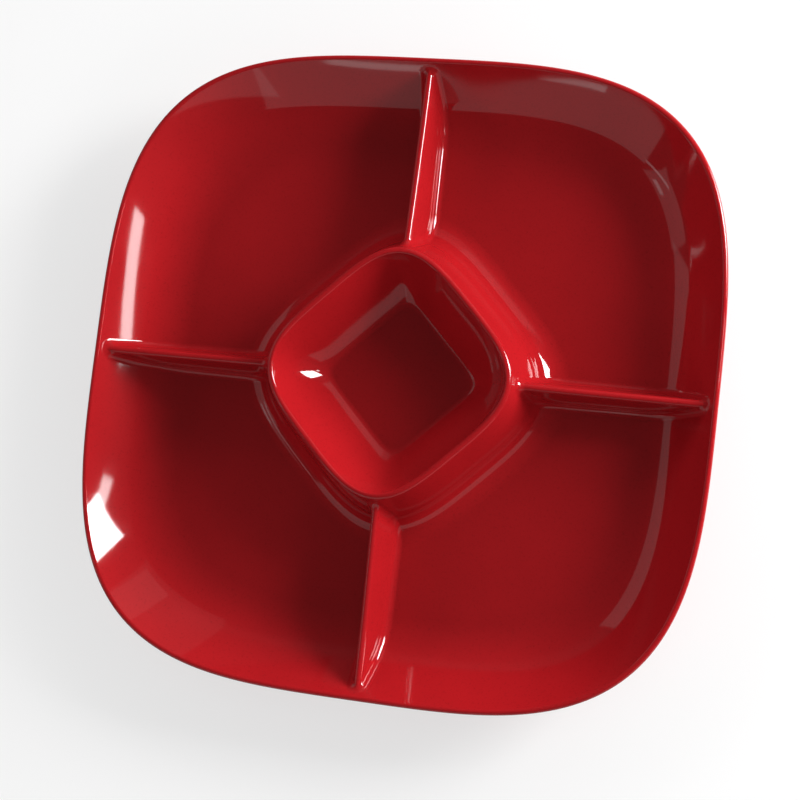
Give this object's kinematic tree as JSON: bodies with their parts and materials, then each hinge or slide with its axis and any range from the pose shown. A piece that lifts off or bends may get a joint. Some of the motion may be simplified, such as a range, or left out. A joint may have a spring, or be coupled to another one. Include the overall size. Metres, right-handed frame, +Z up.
{
  "type": "divided serving dish",
  "caption": "Rounded-square glossy moulded serving dish with compartments parted by ridged dividers round a raised dip bowl.",
  "frame": {"origin": "on the table, under the middle of the dish", "axes": "+Z up; +X and +Y along the dividers, +X to the right one and +Y to the back one"},
  "size_m": [0.345, 0.345, 0.0432],
  "materials": {
    "red_melamine": "glossy deep red melamine with a faint fine speckle"
  },
  "bodies": {
    "root": {"compartment_back_right": "red_melamine", "compartment_back_left": "red_melamine", "compartment_front_left": "red_melamine", "compartment_front_right": "red_melamine", "divider_right": "red_melamine", "divider_back": "red_melamine", "divider_left": "red_melamine", "divider_front": "red_melamine", "dip_bowl": "red_melamine", "foot_ring": "red_melamine"}
  },
  "joints": []
}
